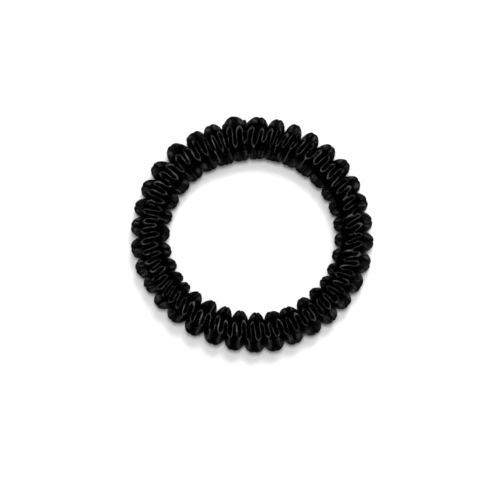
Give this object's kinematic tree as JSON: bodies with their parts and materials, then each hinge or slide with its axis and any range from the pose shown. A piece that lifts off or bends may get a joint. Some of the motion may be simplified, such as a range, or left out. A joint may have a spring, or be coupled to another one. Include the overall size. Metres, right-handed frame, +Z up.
{
  "type": "silk scrunchie",
  "caption": "Slim hair scrunchie: a silk tube gathered into fine tight folds over a ring of elastic cord.",
  "frame": {"origin": "middle of the ring's box, on the plane that the scrunchie lies on", "axes": "+Z up out of the ring's hole, +Y to the side that is farthest in the picture, +X to the right in the picture"},
  "size_m": [0.0662, 0.0648, 0.0092],
  "materials": {
    "silk": "black silk charmeuse with a soft sheen along the folds",
    "elastic": "matt black braided elastic cord"
  },
  "bodies": {
    "root": {"silk_cover": "silk", "elastic_cord": "elastic"}
  },
  "joints": []
}
